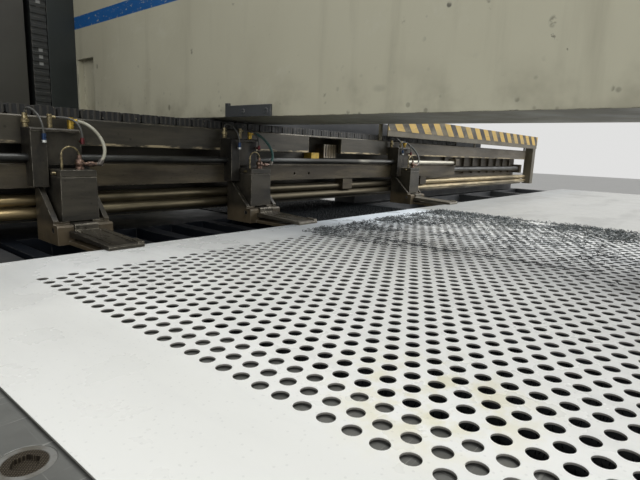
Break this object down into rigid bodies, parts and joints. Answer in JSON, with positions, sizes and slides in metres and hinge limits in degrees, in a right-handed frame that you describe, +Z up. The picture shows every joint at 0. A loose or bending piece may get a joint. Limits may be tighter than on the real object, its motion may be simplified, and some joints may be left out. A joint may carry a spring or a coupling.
{
  "type": "cnc turret punch press",
  "caption": "Turret punch press: a C frame with a ram and tool turrets, and a cross beam whose clamps carry a perforated sheet over the tables.",
  "frame": {"origin": "on the floor, midway along the beam's guards and midway from the C frame's front to its back", "axes": "+X along the cross beam to the operator's right, +Y from the open front to the column, +Z up"},
  "size_m": [5.58, 3.2, 2.42],
  "materials": {
    "frame_paint": "satin paint, stained and scuffed",
    "dark_steel": "dark oiled steel, dusty",
    "grey_paint": "satin dark grey paint",
    "base_paint": "satin light grey paint",
    "bright_steel": "ground and oiled",
    "gold_steel": "ground rail with oil film",
    "tool_steel": "ground tool steel",
    "turret_steel": "turned and oiled",
    "plate_steel": "scratched, with rust stains",
    "plug_steel": "worn",
    "sheet_white": "glossy white coating with dust",
    "clamp_black": "blackened and worn",
    "chain_black": "matt black",
    "brush_black": "bristles",
    "hazard": "worn yellow and dark stripes",
    "fitting_brass": "tarnished",
    "hose_pale": "matt, dirty",
    "hose_dark": "matt",
    "yellow_box": "dusty",
    "bracket_grey": "satin",
    "pump_blue": "satin",
    "motor_grey": "painted",
    "console_paint": "fine texture",
    "stop_red": "moulded",
    "start_green": "moulded",
    "stop_black": "moulded"
  },
  "bodies": {
    "frame": {"c_frame": "frame_paint", "levelling_feet": "tool_steel", "arm_bracket": "bracket_grey", "ram_cylinder": "base_paint", "turret_housings": "tool_steel", "turret_motor": "motor_grey", "y_bases": "base_paint", "y_rails": "bright_steel", "centre_table": "grey_paint", "brush_pads": "brush_black", "cabinet": "grey_paint", "hydraulic_unit": "pump_blue", "y_drive": "motor_grey"},
    "upper_turret": {"upper_turret": "turret_steel", "tool_guides": "tool_steel", "station_punches": "tool_steel"},
    "lower_turret": {"lower_turret": "turret_steel", "dies": "tool_steel"},
    "active_punch": {"active_punch": "tool_steel"},
    "ram": {"ram": "bright_steel"},
    "index_pin_upper": {"index_pin_upper": "bright_steel"},
    "index_pin_lower": {"index_pin_lower": "bright_steel"},
    "y_carriage": {"x_beam": "dark_steel", "beam_saddles": "grey_paint", "x_rails": "gold_steel", "energy_chain": "chain_black", "guard_frame": "grey_paint", "hazard_bar": "hazard", "side_tables": "grey_paint", "table_plates": "plate_steel", "plate_plugs": "plug_steel", "x_motor": "motor_grey", "beam_sensors": "yellow_box"},
    "x_screw": {"x_screw": "bright_steel"},
    "y_screw": {"y_screw": "bright_steel"},
    "x_carriage": {"carriage_plate": "dark_steel", "carriage_shaft": "bright_steel", "rail_blocks": "dark_steel", "perforated_sheet": "sheet_white", "jaw_pins": "bright_steel", "hose_fittings": "fitting_brass", "clamp_frame_1": "clamp_black", "clamp_frame_2": "clamp_black", "clamp_frame_3": "clamp_black", "clamp_cylinders": "clamp_black", "supply_hose_1": "hose_pale", "supply_hose_2": "hose_pale", "supply_hose_3": "hose_pale", "pilot_hose_1": "hose_dark", "pilot_hose_2": "hose_dark", "pilot_hose_3": "hose_dark"},
    "jaw_1": {"clamp_jaw_1": "tool_steel"},
    "jaw_2": {"clamp_jaw_2": "tool_steel"},
    "jaw_3": {"clamp_jaw_3": "tool_steel"},
    "cabinet_door": {"cabinet_door": "grey_paint"},
    "console_arm": {"console_arm": "console_paint"},
    "console": {"console": "console_paint"},
    "e_stop": {"e_stop": "stop_red"},
    "start_button": {"start_button": "start_green"},
    "stop_button": {"stop_button": "stop_black"}
  },
  "joints": [
    {"name": "y_slide", "type": "slide", "parent": "frame", "child": "y_carriage", "axis": [0, 1, 0], "range_m": [-0.8, 0.375]},
    {"name": "x_slide", "type": "slide", "parent": "y_carriage", "child": "x_carriage", "axis": [1, 0, 0], "range_m": [-1.2, 1.2]},
    {"name": "y_screw_spin", "type": "hinge", "parent": "frame", "child": "y_screw", "pos_m": [0.82, 0.29, 0.78], "axis": [0, 1, 0], "range_deg": [-7210, 3385]},
    {"name": "x_screw_spin", "type": "hinge", "parent": "y_carriage", "child": "x_screw", "pos_m": [0, 0.524, 1.078], "axis": [1, 0, 0], "range_deg": [-10810, 10810]},
    {"name": "upper_turret_spin", "type": "hinge", "parent": "frame", "child": "upper_turret", "pos_m": [0, -1.054, 1.1], "axis": [0, 0, 1], "range_deg": [-360, 360]},
    {"name": "lower_turret_spin", "type": "hinge", "parent": "frame", "child": "lower_turret", "pos_m": [0, -1.054, 0.88], "axis": [0, 0, 1], "range_deg": [-360, 360]},
    {"name": "ram_stroke", "type": "slide", "parent": "frame", "child": "ram", "axis": [0, 0, -1], "range_m": [0, 0.033]},
    {"name": "punch_stroke", "type": "slide", "parent": "upper_turret", "child": "active_punch", "axis": [0, 0, -1], "range_m": [0, 0.0331]},
    {"name": "upper_index", "type": "slide", "parent": "frame", "child": "index_pin_upper", "axis": [0, 0, -1], "range_m": [0, 0.04]},
    {"name": "lower_index", "type": "slide", "parent": "frame", "child": "index_pin_lower", "axis": [0, 0, 1], "range_m": [0, 0.0401]},
    {"name": "cabinet_door_hinge", "type": "hinge", "parent": "frame", "child": "cabinet_door", "pos_m": [-1.525, 1.587, 1.03], "axis": [0, 0, 1], "range_deg": [0, 110]},
    {"name": "console_arm_swing", "type": "hinge", "parent": "frame", "child": "console_arm", "pos_m": [0.23, -1.46, 1.89], "axis": [0, 0, 1], "range_deg": [-30, 60]},
    {"name": "console_swivel", "type": "hinge", "parent": "console_arm", "child": "console", "pos_m": [0.7, -1.46, 1.76], "axis": [0, 0, 1], "range_deg": [-45, 45]},
    {"name": "e_stop_push", "type": "slide", "parent": "console", "child": "e_stop", "axis": [0, 1, 0], "range_m": [0, 0.008]},
    {"name": "start_push", "type": "slide", "parent": "console", "child": "start_button", "axis": [0, 1, 0], "range_m": [0, 0.003], "stiffness_N_per_m": 600},
    {"name": "stop_push", "type": "slide", "parent": "console", "child": "stop_button", "axis": [0, 1, 0], "range_m": [0, 0.003], "stiffness_N_per_m": 600},
    {"name": "jaw_1_hinge", "type": "hinge", "parent": "x_carriage", "child": "jaw_1", "pos_m": [-0.582, 0.38, 0.966], "axis": [-1, 0, 0], "range_deg": [0, 6]},
    {"name": "jaw_2_hinge", "type": "hinge", "parent": "x_carriage", "child": "jaw_2", "pos_m": [-0.046, 0.38, 0.966], "axis": [-1, 0, 0], "range_deg": [0, 6]},
    {"name": "jaw_3_hinge", "type": "hinge", "parent": "x_carriage", "child": "jaw_3", "pos_m": [0.885, 0.38, 0.966], "axis": [-1, 0, 0], "range_deg": [0, 6]}
  ],
  "couplings": [
    {"joint": "y_screw_spin", "follows": "y_slide", "rad_per_m": 157.08},
    {"joint": "x_screw_spin", "follows": "x_slide", "rad_per_m": 157.08},
    {"joint": "lower_turret_spin", "follows": "upper_turret_spin", "ratio": 1},
    {"joint": "punch_stroke", "follows": "ram_stroke", "ratio": 1},
    {"joint": "lower_index", "follows": "upper_index", "ratio": 1}
  ]
}
